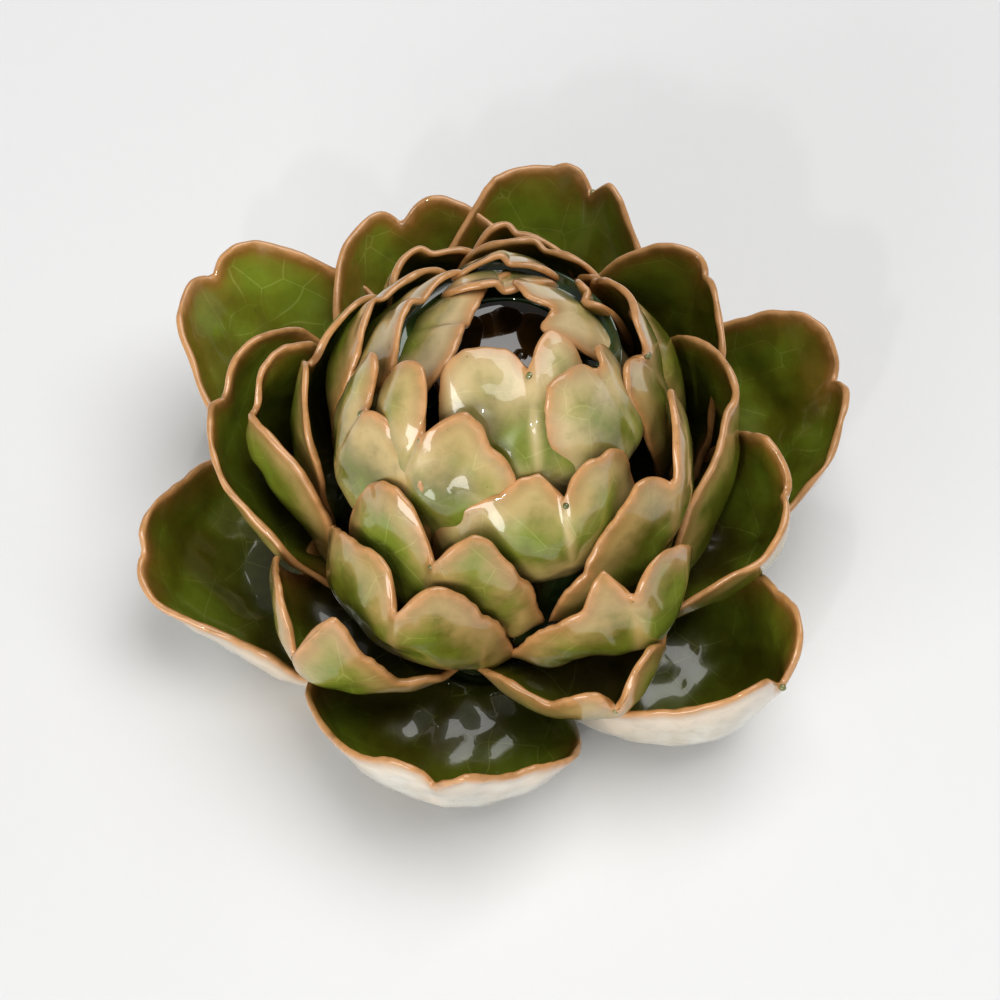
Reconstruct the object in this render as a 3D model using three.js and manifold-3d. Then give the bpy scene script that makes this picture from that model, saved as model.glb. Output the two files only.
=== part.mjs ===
// A decorative artichoke of glazed ceramic, built by hand: torn clay bracts pressed in five rings
// onto a solid core of clay, with an open bud at the top and a flat, bare foot underneath.
// Millimetres, +Z up, origin at the centre of the foot. Angles are degrees counter-clockwise from +X.
import * as THREE from 'three';
import { mergeVertices } from 'three/addons/utils/BufferGeometryUtils.js';
import Module from 'manifold-3d';

// ---------------------------------------------------------------- driving dimensions
const footRadius = 20; // flat bottom of the core
const tipHeight = 50; // flat top of the core, the floor of the bud's hollow
const tipRadius = 8;
const wall = 2.2; // thickness of a bract
const clearance = 0.3; // gap kept between neighbouring pieces
const endHeight = 2.5; // how far above its root line a bract's rim meets the core
const endStandoff = 1.5; // how far outside the core it does so
const sliver = 0.003; // shreds finer than this are cleaned off a cut
const tearWidth = 0.45; // half width of the tear in a rim, as a share of the half rim

// A ring of bracts sits on the core at the height `seat`, where the core has the radius `radius`.
// Its rims stand `reach` beyond that radius and `rise` above that height.
// `turn` is half the angle of the rim's arch, `belly` how far a bract bulges outwards, `droop` how
// squarely the arch falls to its ends, `base` the width at the root as a share of the full width,
// `hug` how far the shoulders of the rim curl back to the axis, and `cup` how far the sides bulge,
// as a share of their flare.
const rings = {
  outer: { seat: 6, radius: 25, reach: 30, rise: 19, turn: 112, belly: 6, droop: 1.3, base: 0.5, hug: 0,
    cup: 0.4 },
  lower: { seat: 13, radius: 27, reach: 13, rise: 25, turn: 100, belly: 5, droop: 1.5, base: 0.6, hug: 6,
    cup: 0.1 },
  middle: { seat: 22, radius: 26, reach: 2, rise: 25, turn: 95, belly: 4.5, droop: 1.7, base: 0.7, hug: 6,
    cup: 0 },
  upper: { seat: 31, radius: 23, reach: -5, rise: 26, turn: 92, belly: 4.5, droop: 1.9, base: 0.75, hug: 8,
    cup: 0 },
  inner: { seat: 40, radius: 18, reach: -11, rise: 22, turn: 90, belly: 4, droop: 2, base: 0.8, hug: 5,
    cup: 0 },
};

// One row for each bract, in the order in which they were pressed on: a bract is trimmed where it
// meets one that comes before it. `at` is its direction and `half` its half widths, clockwise side
// first. `far`, `high` and `lift` shift its rim outwards, its rim upwards and its root upwards from
// the ring's own. `tilt` raises the counter-clockwise shoulder. A tear is `tear` deep at `tearAt`, and
// `crest` lists places across and how far the rim stands up there.
const bracts = [
  { name: 'inner_bract_5', ring: 'inner', at: 328, half: [10, 8.5], far: 5.5, high: -0.5, belly: 5,
    tilt: -2, tearAt: 0.15, tearWide: 0.25, crest: [[-0.4, 1], [0.1, 0.5]] },
  { name: 'inner_bract_4', ring: 'inner', at: 280, half: [12, 12], far: -3.5, high: 0.5, belly: 6, tear: 4,
    tearAt: 0.12, tearWide: 0.3, crest: [[-0.6, 1], [-0.1, 0], [0.3, 1.5], [0.6, 1.5]] },
  { name: 'inner_bract_3', ring: 'inner', at: 163, half: [16.5, 12], far: -1, high: -2, belly: 5,
    hugs: [7, 5], tilt: 1, tear: 0, crest: [[-0.7, 2], [-0.4, -0.5], [0.1, 0.5]] },
  { name: 'inner_bract_1', ring: 'inner', at: 30, half: [7, 11], far: -1.5, high: -2, belly: 5, tear: 2.5,
    tearAt: 0.05, tearWide: 0.25, crest: [[0.5, 1]] },
  { name: 'inner_bract_2', ring: 'inner', at: 95, half: [9, 9], far: 1.5, high: -1.5, tear: 0,
    crest: [[-0.3, -0.5], [0.2, 0.5]] },
  { name: 'upper_bract_6', ring: 'upper', at: 233, half: [11.5, 14.5], far: -2, high: 1, lift: 2,
    hugs: [10, 10], tilt: -4, tear: 7, tearAt: -0.02, tearWide: 0.35,
    crest: [[-0.35, 2], [0.15, 3], [0.4, -1], [0.6, -1.5]] },
  { name: 'upper_bract_7', ring: 'upper', at: 290, half: [17.5, 13.5], far: 2, high: -4.5, tilt: 4,
    tear: 5, tearAt: 0.03, tearWide: 0.3,
    crest: [[-0.55, -1.5], [-0.3, -1], [-0.07, 2], [0.3, -1], [0.6, -1]] },
  { name: 'upper_bract_5', ring: 'upper', at: 205, half: [11, 15], far: 2, high: -1, hugs: [6, 3],
    tilt: -4, tear: 4, tearAt: -0.04, tearWide: 0.3, crest: [[-0.45, 1.5], [-0.15, 1.5], [0.2, 0.5]] },
  { name: 'upper_bract_1', ring: 'upper', at: 14, half: [13, 16], far: 0.5, high: 2, belly: 3,
    hugs: [6, 8], tilt: 1, tear: 4, tearAt: -0.25, tearWide: 0.25,
    crest: [[-0.6, 2], [0, 0], [0.3, -2], [0.6, -2.5]] },
  { name: 'upper_bract_2', ring: 'upper', at: 38, half: [5, 5], far: -3, high: -3, lift: 5, belly: 1,
    hugs: [0, 0], tear: 1 },
  { name: 'upper_bract_3', ring: 'upper', at: 90, half: [9.5, 9.5], far: -2.5, high: -3.5, lift: 5, tear: 0 },
  { name: 'upper_bract_4', ring: 'upper', at: 148, half: [12, 12], far: -3, high: -4, lift: 5, tear: 0 },
  { name: 'middle_bract_7', ring: 'middle', at: 248, half: [15.5, 15.5], far: -2, high: 0.5, tilt: -3,
    tear: 7, tearAt: 0.02, tearWide: 0.38, crest: [[-0.4, 1], [0.2, 1.5], [0.4, -1.5], [0.6, -3]] },
  { name: 'middle_bract_9', ring: 'middle', at: 319.5, half: [16, 17], far: -2, high: 2, tilt: 5,
    tear: 6.5, tearAt: 0.15, tearWide: 0.3, crest: [[-0.6, -4.5], [-0.3, -2.5], [-0.05, 0.5], [0.5, 3]] },
  { name: 'middle_bract_1', ring: 'middle', at: 32, half: [11.5, 15], far: -6.5, high: 5.5, tear: 0 },
  { name: 'middle_bract_2', ring: 'middle', at: 78, half: [14, 14], far: -3, high: 4, tear: 0 },
  { name: 'middle_bract_4', ring: 'middle', at: 146, half: [16, 13], far: -6, high: 2, lift: 4, tear: 0 },
  { name: 'middle_bract_3', ring: 'middle', at: 115, half: [11, 11], far: 0, high: 0, tear: 0,
    crest: [[-0.4, 1], [0.4, 0.5]] },
  { name: 'middle_bract_5', ring: 'middle', at: 164, half: [16, 16], far: 1, high: 0, hugs: [6, 1],
    tilt: -1, tear: 4, tearAt: 0.02, tearWide: 0.25, crest: [[-0.3, 2], [0.4, -1]] },
  { name: 'middle_bract_6', ring: 'middle', at: 241, half: [17, 15], far: 4.5, high: 0, lift: -7, belly: 6,
    tear: 6, tearAt: 0.06, tearWide: 0.3, crest: [[-0.3, 0], [-0.05, 2], [0.2, 1], [0.4, -0.5], [0.6, -2]] },
  { name: 'middle_bract_8', ring: 'middle', at: 305, half: [16, 15], far: 6.5, high: 1, lift: -7, belly: 6,
    tear: 5, tearAt: -0.1, tearWide: 0.25,
    crest: [[-0.6, -4], [-0.4, -3.5], [-0.2, 3], [0.15, 1], [0.4, -2], [0.6, -4]] },
  { name: 'lower_bract_2', ring: 'lower', at: 42, half: [17.5, 16], far: 0, high: 5.5, tear: 2.5,
    tearAt: -0.02, tearWide: 0.15 },
  { name: 'lower_bract_1', ring: 'lower', at: 3, half: [21, 18], far: -6.5, high: 5, belly: 4,
    hugs: [7, 7], tilt: 4, tear: 1, tearWide: 0.2 },
  { name: 'lower_bract_8', ring: 'lower', at: 345, half: [16, 13], far: 4, high: -6, hugs: [3, 3], tilt: 4,
    tear: 3.5, tearAt: 0.17, tearWide: 0.25, crest: [[0, 1], [0.4, 4]] },
  { name: 'lower_bract_3', ring: 'lower', at: 88, half: [11, 9], far: -9, high: 3, lift: 5, tear: 0,
    crest: [[-0.2, 1]] },
  { name: 'lower_bract_5', ring: 'lower', at: 174, half: [13, 15], far: -2.5, high: 3.5, hugs: [6, 12],
    tilt: -3, tear: 3.5, tearAt: 0.08, tearWide: 0.25, crest: [[-0.5, 2], [0.2, 1.5]] },
  { name: 'lower_bract_4', ring: 'lower', at: 168, half: [16, 22], far: 4, high: -2.5, hugs: [2, -2],
    tilt: -4, tear: 2.5, tearAt: 0.02, tearWide: 0.18, crest: [[-0.3, 2], [0.2, 1]] },
  { name: 'lower_bract_6', ring: 'lower', at: 226, half: [18, 16], far: 3, high: -7.5, belly: 9, tear: 7,
    tearAt: -0.02, tearWide: 0.3,
    crest: [[-0.8, -6], [-0.5, -1], [-0.1, 2], [0.15, 3.5], [0.35, -1], [0.6, -4]] },
  { name: 'lower_bract_7', ring: 'lower', at: 293, half: [16, 14], far: 1, high: -8.5, belly: 8.5, tilt: 4,
    tear: 5, tearAt: -0.02, tearWide: 0.2,
    crest: [[-0.6, -1.5], [-0.4, -3.5], [-0.2, -2], [0, 0], [0.3, -1], [0.6, -5]] },
  { name: 'outer_bract_3', ring: 'outer', at: 108, half: [16.5, 16.5], far: -3.5, high: 2, lift: 3,
    tear: 3.5, tearAt: 0.03, tearWide: 0.2, crest: [[-0.2, 2], [0.1, 1], [0.3, 0.5]] },
  { name: 'outer_bract_4', ring: 'outer', at: 141, half: [17, 19], far: 5.3, high: 3, tilt: -1, tear: 2.5,
    tearAt: -0.01, tearWide: 0.18, crest: [[-0.3, 1.5], [0, 0.5], [0.3, 1]] },
  { name: 'outer_bract_2', ring: 'outer', at: 82, half: [17.5, 15.5], far: -0.5, high: 5.5, lift: 2,
    tear: 4.5, tearAt: -0.2, tearWide: 0.22, crest: [[-0.45, 3.5], [-0.3, 5], [0, 0.5], [0.3, 2]] },
  { name: 'outer_bract_1', ring: 'outer', at: 22, half: [20.5, 17], far: 0.5, high: 1.5, tilt: 3,
    tear: 3.5, tearAt: -0.03, tearWide: 0.2, crest: [[-0.25, 2.5], [0, 0.5], [0.3, 2]] },
  { name: 'outer_bract_6', ring: 'outer', at: 256.5, half: [22, 20], far: -1.7, high: -3.5, belly: 10.5,
    hugs: [3, 3], tear: 3.5, tearAt: 0.05, tearWide: 0.2, turns: [95, 95], endUp: 1.5, endOut: 18.5,
    crest: [[-0.5, -2], [-0.15, 0.5], [0.2, 3], [0.35, 1]] },
  { name: 'outer_bract_7', ring: 'outer', at: 319, half: [19, 14.5], far: -1, high: -3, belly: 10,
    hugs: [3, 5], tilt: 3, tear: 5, tearAt: 0.05, tearWide: 0.3, turns: [95, 105], endOut: 4.5,
    crest: [[-0.15, 3], [0.25, 3]] },
  { name: 'outer_bract_5', ring: 'outer', at: 192, half: [20, 21], far: 2, high: -4, belly: 12,
    hugs: [3, 17], tilt: -4, tear: 3, tearAt: -0.08, tearWide: 0.3, turns: [100, 92], endUp: -3.5,
    endOut: 7.5, crest: [[-0.35, -0.5], [-0.12, 1], [0.1, -2.5], [0.45, -2], [0.65, -3]] },
];

// ---------------------------------------------------------------- the mesh of a bract
const acrossSteps = 10;
const alongSteps = 3;

const coreProfile = [
  [footRadius, 0],
  ...Object.values(rings).map((ring) => [ring.radius, ring.seat]),
  [tipRadius, tipHeight],
];

function coreRadius(height) {
  const above = coreProfile.findIndex(([, z]) => z >= height);
  const [r1, z1] = coreProfile[above];
  const [r0, z0] = coreProfile[above - 1];
  return r0 + ((r1 - r0) * (height - z0)) / (z1 - z0);
}

const bezier = (a, b, c, v) => (1 - v) ** 2 * a + 2 * v * (1 - v) * b + v * v * c;

// How far the rim is cut back at u: a tear with round shoulders, less the height of the crests, which
// run straight from one to the next and are nothing at the ends.
function rimCut(bract, u) {
  const share = Math.max(0, 1 - Math.abs(u - (bract.tearAt ?? 0)) / (bract.tearWide ?? tearWidth)) ** 2.6;
  const knots = [[-1, 0], ...(bract.crest ?? []), [1, 0]];
  const after = Math.max(1, knots.findIndex(([place]) => place >= u));
  const [place0, height0] = knots[after - 1];
  const [place1, height1] = knots[after];
  const step = (u - place0) / (place1 - place0);
  return (bract.tear ?? 2) * share - THREE.MathUtils.lerp(height0, height1, step);
}

// The point of a bract's middle surface: u runs along the rim from -1, clockwise, to 1, and v runs
// from 0 on the core to 1 at the rim. The rim is an arch from the core out to the rim's middle and
// back, and each line of constant u is a bowed curve from the root line up to it.
function surfacePoint(bract, u, v) {
  const ring = { ...rings[bract.ring], ...bract };
  const root = ring.seat + (bract.lift ?? 0);
  const rootRadius = coreRadius(root);
  const side = u > 0 ? 1 : 0;
  const half = bract.half[side];
  const hug = bract.hugs ? bract.hugs[side] : ring.hug;
  const turn = THREE.MathUtils.degToRad(bract.turns ? bract.turns[side] : ring.turn);
  const rimRadius = ring.radius + ring.reach + bract.far;
  const rimHeight = root + ring.rise + bract.high;
  const endUp = endHeight + (bract.endUp ?? 0);
  const endOut = endStandoff + (bract.endOut ?? 0);
  const tilt = bract.tilt ?? 0;

  const fall = (1 - Math.cos(turn * u)) / (1 - Math.cos(turn));
  const across = Math.sin(turn * u);
  const rimAcross = half * across;
  const endAcross = half * Math.sin(turn);
  const endRadius = Math.sqrt(Math.max(rootRadius ** 2 - endAcross ** 2, 1)) + endOut;
  const rimOut = rimRadius + (endRadius - rimRadius) * fall - hug * across ** 2 * (1 - fall);
  const rimUp = rimHeight + (root + endUp - rimHeight) * fall ** ring.droop + tilt * across * (1 - fall);

  const footAcross = ((bract.half[0] + bract.half[1]) / 2) * ring.base * u;
  const footOut = Math.sqrt(rootRadius ** 2 - footAcross ** 2);
  const run = rimOut - footOut;
  const climb = rimUp - root;
  const bow = (2 * ring.belly * Math.sqrt(1 - fall)) / Math.hypot(run, climb);
  const length = Math.hypot(run, climb, rimAcross - footAcross);
  const w = v * (1 - rimCut(bract, u) / length);

  const out = bezier(footOut, (footOut + rimOut) / 2 + bow * climb, rimOut, w);
  const bulge = ring.cup * (rimAcross - footAcross);
  const sideways = bezier(footAcross, (footAcross + rimAcross) / 2 + bulge, rimAcross, w);
  const up = bezier(root, (root + rimUp) / 2 - bow * run, rimUp, w);
  return new THREE.Vector3(out, sideways, up);
}

// Unit vectors at a point of the middle surface: along the rim, up to the rim, and square to both.
function surfaceWays(bract, u, v) {
  const step = 0.02;
  const u0 = Math.max(u - step, -1);
  const u1 = Math.min(u + step, 1);
  const v0 = Math.max(v - step, 0);
  const v1 = Math.min(v + step, 1);
  const across = surfacePoint(bract, u1, v).sub(surfacePoint(bract, u0, v)).normalize();
  const along = surfacePoint(bract, u, v1).sub(surfacePoint(bract, u, v0)).normalize();
  return { across, along, normal: across.clone().cross(along).normalize() };
}

// -1 at the first of some steps, 1 at the last and 0 between them.
const endSign = (step, steps) => (step === steps ? 1 : 0) - (step === 0 ? 1 : 0);

// A closed shell around the middle surface: two sheets half a wall to each side, joined by the rim.
// With a margin, the shell is that much larger all round.
function bractGeometry(bract, margin = 0) {
  const positions = [];
  const rows = alongSteps + 1;
  const columns = acrossSteps + 1;
  for (const sheet of [1, -1]) {
    for (let i = 0; i < columns; i += 1) {
      for (let j = 0; j < rows; j += 1) {
        const u = -1 + (2 * i) / acrossSteps;
        const v = j / alongSteps;
        const ways = surfaceWays(bract, u, v);
        const point = surfacePoint(bract, u, v);
        point.addScaledVector(ways.normal, sheet * (wall / 2 + margin));
        point.addScaledVector(ways.across, margin * endSign(i, acrossSteps));
        point.addScaledVector(ways.along, margin * endSign(j, alongSteps));
        positions.push(point.x, point.y, point.z);
      }
    }
  }
  const last = acrossSteps;
  const top = alongSteps;
  const vertex = (sheet, i, j) => (sheet * columns + i) * rows + j;
  const faces = [];
  const quad = (a, b, c, d) => faces.push(a, b, c, a, c, d);
  for (let i = 0; i < acrossSteps; i += 1) {
    for (let j = 0; j < alongSteps; j += 1) {
      quad(vertex(0, i, j), vertex(0, i + 1, j), vertex(0, i + 1, j + 1), vertex(0, i, j + 1));
      quad(vertex(1, i, j), vertex(1, i, j + 1), vertex(1, i + 1, j + 1), vertex(1, i + 1, j));
    }
    quad(vertex(0, i, top), vertex(0, i + 1, top), vertex(1, i + 1, top), vertex(1, i, top));
    quad(vertex(0, i + 1, 0), vertex(0, i, 0), vertex(1, i, 0), vertex(1, i + 1, 0));
  }
  for (let j = 0; j < alongSteps; j += 1) {
    quad(vertex(0, 0, j), vertex(0, 0, j + 1), vertex(1, 0, j + 1), vertex(1, 0, j));
    quad(vertex(0, last, j + 1), vertex(0, last, j), vertex(1, last, j), vertex(1, last, j + 1));
  }
  const geometry = new THREE.BufferGeometry();
  geometry.setAttribute('position', new THREE.Float32BufferAttribute(positions, 3));
  geometry.setIndex(faces);
  return geometry.rotateZ(THREE.MathUtils.degToRad(bract.at));
}

// The core as a turned solid, larger all round by a margin.
function coreGeometry(margin = 0) {
  const low = -margin;
  const high = tipHeight + margin;
  const sides = coreProfile.map(([radius, height]) => {
    const level = height === 0 ? low : height;
    return [radius + margin, level === tipHeight ? high : level];
  });
  const profile = [[0, low], ...sides, [0, high]];
  const points = profile.map(([radius, height]) => new THREE.Vector2(radius, height));
  return new THREE.LatheGeometry(points, 32).rotateX(Math.PI / 2);
}

// ---------------------------------------------------------------- cutting
const wasm = await Module();
wasm.setup();

function bare(geometry) {
  const copy = geometry.clone();
  copy.deleteAttribute('normal');
  copy.deleteAttribute('uv');
  return mergeVertices(copy, 1e-4);
}

function toSolid(geometry) {
  const merged = bare(geometry);
  const vertProperties = new Float32Array(merged.attributes.position.array);
  const triVerts = new Uint32Array(merged.index.array);
  return new wasm.Manifold(new wasm.Mesh({ numProp: 3, vertProperties, triVerts }));
}

function toGeometry(solid) {
  const mesh = solid.getMesh();
  const geometry = new THREE.BufferGeometry();
  geometry.setAttribute('position', new THREE.Float32BufferAttribute(mesh.vertProperties, 3));
  geometry.setIndex(Array.from(mesh.triVerts));
  return geometry;
}

function largestBody(solid) {
  const bodies = solid.simplify(sliver).decompose();
  return bodies.reduce((most, body) => (body.volume() > most.volume() ? body : most));
}

// ---------------------------------------------------------------- the object
const glaze = {
  outer: 0x7d8550,
  lower: 0x848a56,
  middle: 0x9da573,
  upper: 0xa3aa78,
  inner: 0xadaf80,
};

const artichoke = new THREE.Group();

function addPiece(name, geometry, colour, roughness) {
  const material = new THREE.MeshStandardMaterial({ color: colour, roughness, metalness: 0 });
  const mesh = new THREE.Mesh(geometry, material);
  mesh.name = name;
  artichoke.add(mesh);
}

addPiece('core', coreGeometry(), 0x3f4a26, 0.35);
const taken = [toSolid(coreGeometry(clearance))];
for (const bract of bracts) {
  const whole = toSolid(bractGeometry(bract));
  let solid = whole;
  for (const neighbour of taken) {
    solid = solid.subtract(neighbour);
  }
  addPiece(bract.name, toGeometry(largestBody(solid)), glaze[bract.ring], 0.15);
  taken.push(toSolid(bractGeometry(bract, clearance)).add(whole));
}

export default artichoke;
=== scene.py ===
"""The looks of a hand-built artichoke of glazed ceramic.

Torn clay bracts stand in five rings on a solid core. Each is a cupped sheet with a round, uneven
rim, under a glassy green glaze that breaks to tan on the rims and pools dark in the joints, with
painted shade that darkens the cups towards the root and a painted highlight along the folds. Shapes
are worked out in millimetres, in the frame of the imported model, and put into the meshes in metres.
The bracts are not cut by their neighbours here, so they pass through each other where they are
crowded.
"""

from __future__ import annotations

import sys

import logging
import math
from dataclasses import dataclass, field
from enum import Enum

import bpy
import numpy as np
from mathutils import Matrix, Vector


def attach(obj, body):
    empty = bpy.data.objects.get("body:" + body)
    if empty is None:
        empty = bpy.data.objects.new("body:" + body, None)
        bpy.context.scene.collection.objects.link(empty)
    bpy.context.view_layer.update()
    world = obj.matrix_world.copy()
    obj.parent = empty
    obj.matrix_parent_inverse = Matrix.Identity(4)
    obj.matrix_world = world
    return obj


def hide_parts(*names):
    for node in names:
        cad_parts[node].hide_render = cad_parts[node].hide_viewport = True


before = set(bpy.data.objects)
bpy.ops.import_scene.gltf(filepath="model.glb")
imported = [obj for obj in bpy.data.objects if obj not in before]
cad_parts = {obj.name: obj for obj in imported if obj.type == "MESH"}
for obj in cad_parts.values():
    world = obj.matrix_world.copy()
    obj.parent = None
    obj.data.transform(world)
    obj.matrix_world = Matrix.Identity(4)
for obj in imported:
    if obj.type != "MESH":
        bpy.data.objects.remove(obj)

log = logging.getLogger("artichoke")
MM = 0.001
Colour = tuple[float, float, float]


# ---------------------------------------------------------------- numbers and meshes
def smooth(low: float, high: float, x: np.ndarray) -> np.ndarray:
    """A soft step from 0 at `low` to 1 at `high`: 3t^2 - 2t^3 of the share t of the way.

    Args:
        low: where the step starts.
        high: where it ends, which may be lower than `low`.
        x: the values to step.

    Returns:
        The step's height at each value.
    """
    t = np.clip((x - low) / (high - low), 0.0, 1.0)
    return t * t * (3.0 - 2.0 * t)


def round_end(share: np.ndarray) -> np.ndarray:
    """How full a round edge is at a share of the way in from it: sqrt(1 - (1 - share)^2)."""
    return np.sqrt(1.0 - (1.0 - np.clip(share, 0.0, 1.0)) ** 2)


def bowed(
    w: float | np.ndarray, foot: np.ndarray, bend: np.ndarray, rim: np.ndarray
) -> np.ndarray:
    """The quadratic curve (1-w)^2 foot + 2w(1-w) bend + w^2 rim, at the share w of the way up."""
    return (1.0 - w) ** 2 * foot + 2.0 * w * (1.0 - w) * bend + w**2 * rim


@dataclass(frozen=True)
class Unevenness:
    """A soft random field: a sum of plane waves with seeded directions, lengths and phases.

    Attributes:
        length: the middle wavelength, in millimetres.
        seed: the seed of its own random numbers.
        waves: how many plane waves are summed.
    """

    length: float
    seed: int
    waves: int = 20

    def at(self, points: np.ndarray) -> np.ndarray:
        """The field at some points: sqrt(2/n) * sum of sin(k.p + phase), about -2 to 2.

        Args:
            points: an array of positions, in millimetres, with x, y, z in the last axis.

        Returns:
            One value for each point.
        """
        draw = np.random.default_rng(self.seed)
        ways = draw.normal(size=(self.waves, 3))
        ways /= np.linalg.norm(ways, axis=1, keepdims=True)
        ways *= 2.0 * np.pi / (self.length * draw.uniform(0.7, 1.5, (self.waves, 1)))
        phases = draw.uniform(0.0, 2.0 * np.pi, self.waves)
        return np.sqrt(2.0 / self.waves) * np.sin(points @ ways.T + phases).sum(axis=-1)

    def along(self, line: np.ndarray) -> np.ndarray:
        """The field along a line of positions given by one number each, in millimetres."""
        return self.at(np.stack([line, np.zeros_like(line), np.zeros_like(line)], axis=-1))


def sheet_normals(points: np.ndarray) -> np.ndarray:
    """Unit normals of a grid of points: the cross product of its two central differences.

    Args:
        points: an array of shape (across, along, 3).

    Returns:
        An array of the same shape.
    """
    normal = np.cross(np.gradient(points, axis=0), np.gradient(points, axis=1))
    return normal / (np.linalg.norm(normal, axis=-1, keepdims=True) + 1e-9)


def grid_faces(grid: np.ndarray) -> np.ndarray:
    """The four corners of each cell of a grid of vertex numbers, counter-clockwise."""
    corners = (grid[:-1, :-1], grid[1:, :-1], grid[1:, 1:], grid[:-1, 1:])
    return np.stack(corners, axis=-1).reshape(-1, 4)


def pillow_faces(across: int, along: int) -> tuple[np.ndarray, np.ndarray]:
    """Faces of two grids that share their border, as the two sheets of a pillow do.

    Args:
        across: points in the first direction.
        along: points in the second direction.

    Returns:
        The faces as an array of four vertex numbers each, and the index of each inner vertex of
        the second sheet in the flat grid, in the order in which they follow the first sheet.
    """
    first = np.arange(across * along).reshape(across, along)
    second = first.copy()
    inside = first[1:-1, 1:-1]
    second[1:-1, 1:-1] = across * along + np.arange(inside.size).reshape(inside.shape)
    return np.concatenate([grid_faces(first), grid_faces(second)[:, ::-1]]), inside.ravel()


def outward(points: np.ndarray, faces: np.ndarray) -> np.ndarray:
    """Faces turned to point outwards: reversed where the sum of p . (q x r) is negative."""
    a, b, c, d = (points[faces[:, corner]] for corner in range(4))
    volume = float((a * np.cross(b, c)).sum() + (a * np.cross(c, d)).sum())
    return faces[:, ::-1] if volume < 0.0 else faces


def new_piece(
    name: str, points: np.ndarray, faces: list[list[int]], values: dict[str, np.ndarray]
) -> bpy.types.Object:
    """Puts points and faces into a mesh object with smooth shading and float attributes.

    Args:
        name: the object's name.
        points: vertex positions in millimetres, of shape (n, 3).
        faces: the vertex numbers of each face.
        values: one array of n numbers for each point attribute.

    Returns:
        The object, linked into the scene.
    """
    mesh = bpy.data.meshes.new(name)
    mesh.from_pydata((points * MM).tolist(), [], faces)
    mesh.polygons.foreach_set("use_smooth", np.ones(len(mesh.polygons), dtype=bool))
    for key, numbers in values.items():
        layer = mesh.attributes.new(key, "FLOAT", "POINT")
        layer.data.foreach_set("value", numbers.astype(np.float32))
    mesh.update()
    piece = bpy.data.objects.new(name, mesh)
    bpy.context.scene.collection.objects.link(piece)
    return piece


# ---------------------------------------------------------------- shader maths
class Wire:
    """A shader value that adds Math nodes when it is used in an expression."""

    def __init__(self, sheet: Finish, socket: bpy.types.NodeSocket) -> None:
        """Wraps one output socket of a node in a finish's tree."""
        self.sheet = sheet
        self.socket = socket

    def _math(self, operation: str, a: Wire | float, b: Wire | float) -> Wire:
        """Adds one Math node.

        Args:
            operation: the node's operation, in Blender's spelling.
            a: the first value.
            b: the second value.

        Returns:
            The node's result.
        """
        return self.sheet.node("ShaderNodeMath", {"operation": operation}, {0: a, 1: b})

    def __add__(self, other: Wire | float) -> Wire:
        """The sum of the two."""
        return self._math("ADD", self, other)

    def __radd__(self, other: float) -> Wire:
        """The sum of the two."""
        return self._math("ADD", other, self)

    def __sub__(self, other: Wire | float) -> Wire:
        """This less the other."""
        return self._math("SUBTRACT", self, other)

    def __rsub__(self, other: float) -> Wire:
        """The other less this."""
        return self._math("SUBTRACT", other, self)

    def __mul__(self, other: Wire | float) -> Wire:
        """The product of the two."""
        return self._math("MULTIPLY", self, other)

    def __rmul__(self, other: float) -> Wire:
        """The product of the two."""
        return self._math("MULTIPLY", other, self)

    def larger(self, other: Wire | float) -> Wire:
        """The larger of the two."""
        return self._math("MAXIMUM", self, other)

    def step(self, low: float, high: float) -> Wire:
        """A soft step: 0 at `low` and 1 at `high`, which may be the smaller of the two."""
        settings = {"interpolation_type": "SMOOTHSTEP", "clamp": True}
        ends = (low, high, 0.0, 1.0) if high > low else (high, low, 1.0, 0.0)
        inputs = {0: self, **dict(enumerate(ends, start=1))}
        return self.sheet.node("ShaderNodeMapRange", settings, inputs)


class Grain(Enum):
    """The kinds of pattern that a glaze is made of."""

    CLOUD = "cloud"
    CRACK = "crack"
    SPECK = "speck"


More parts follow.
